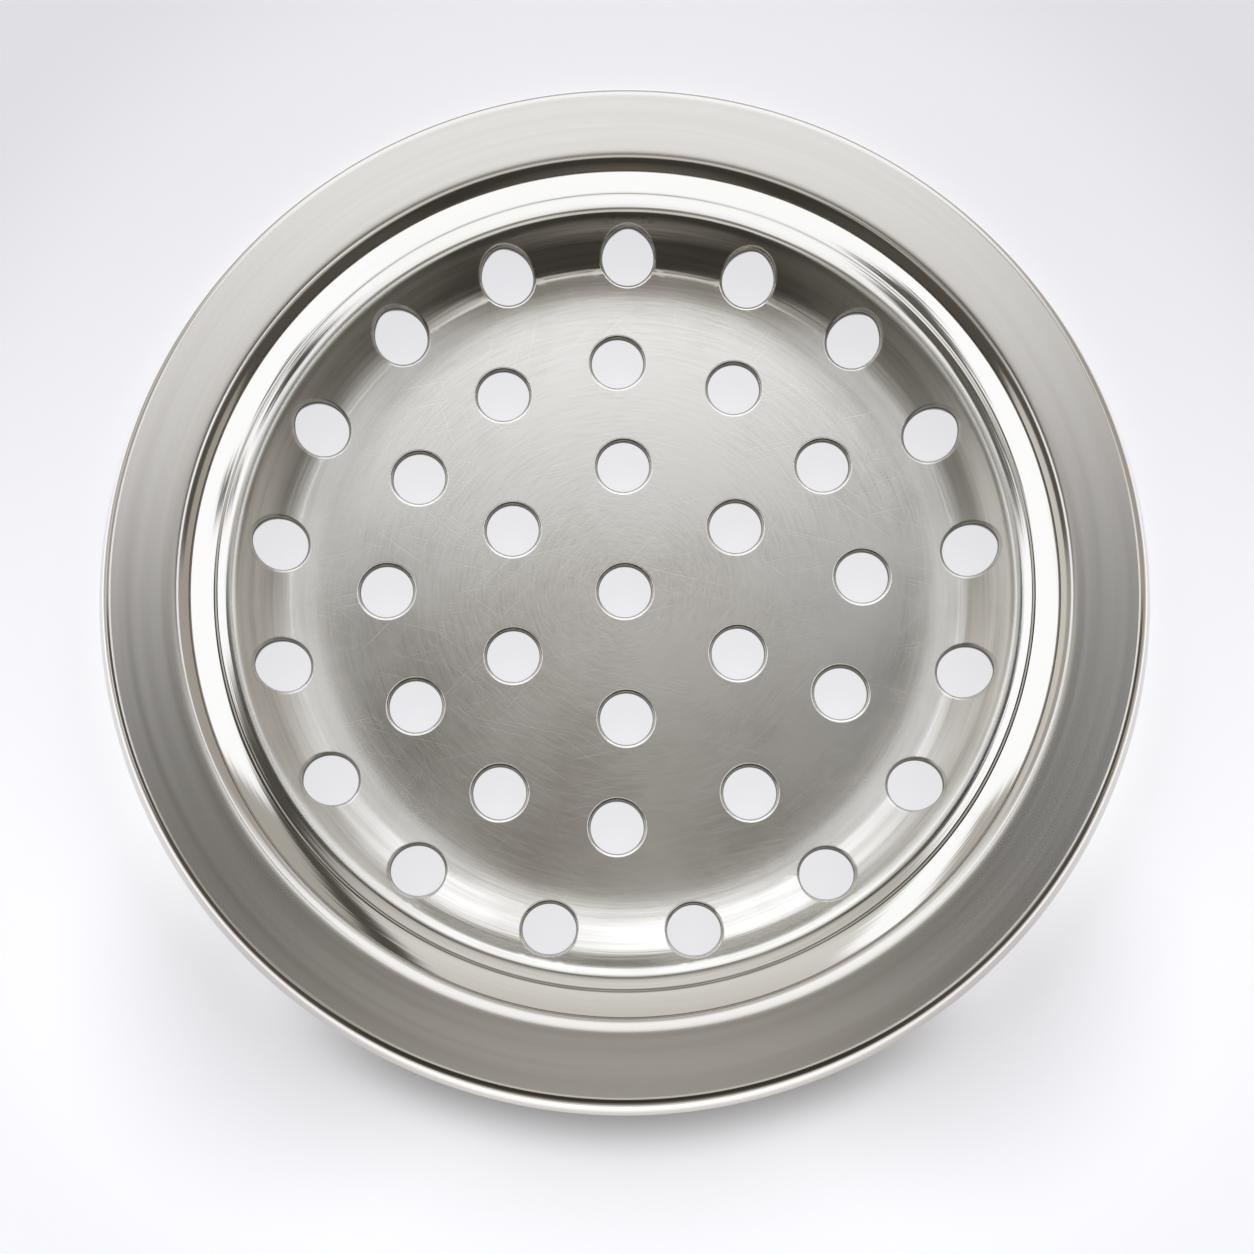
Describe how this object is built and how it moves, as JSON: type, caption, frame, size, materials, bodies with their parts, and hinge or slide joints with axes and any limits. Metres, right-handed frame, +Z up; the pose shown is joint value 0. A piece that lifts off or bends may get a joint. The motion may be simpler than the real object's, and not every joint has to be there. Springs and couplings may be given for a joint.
{
  "type": "floor drain grate",
  "caption": "Round stainless floor drain grate: a flanged frame ring with a lipped edge and a collar, and a perforated strainer dish that lifts out of its rebate.",
  "frame": {"origin": "centre of the collar's foot, on the surface that the grate stands on", "axes": "+Z up along the grate's axis, -Y towards the viewer of the picture, +X to the right"},
  "size_m": [0.127, 0.127, 0.0115],
  "materials": {
    "satin_steel": "satin stainless steel, finely brushed round the flange, with bright edges",
    "polished_steel": "stainless steel, mirror polished on the rim, drawn wall, satin floor with fine scratches"
  },
  "bodies": {
    "frame": {"frame_ring": "satin_steel"},
    "dish": {"strainer_dish": "polished_steel"}
  },
  "joints": [
    {"name": "dish_lift", "type": "slide", "parent": "frame", "child": "dish", "axis": [0, 0, 1], "range_m": [0, 0.03]}
  ]
}
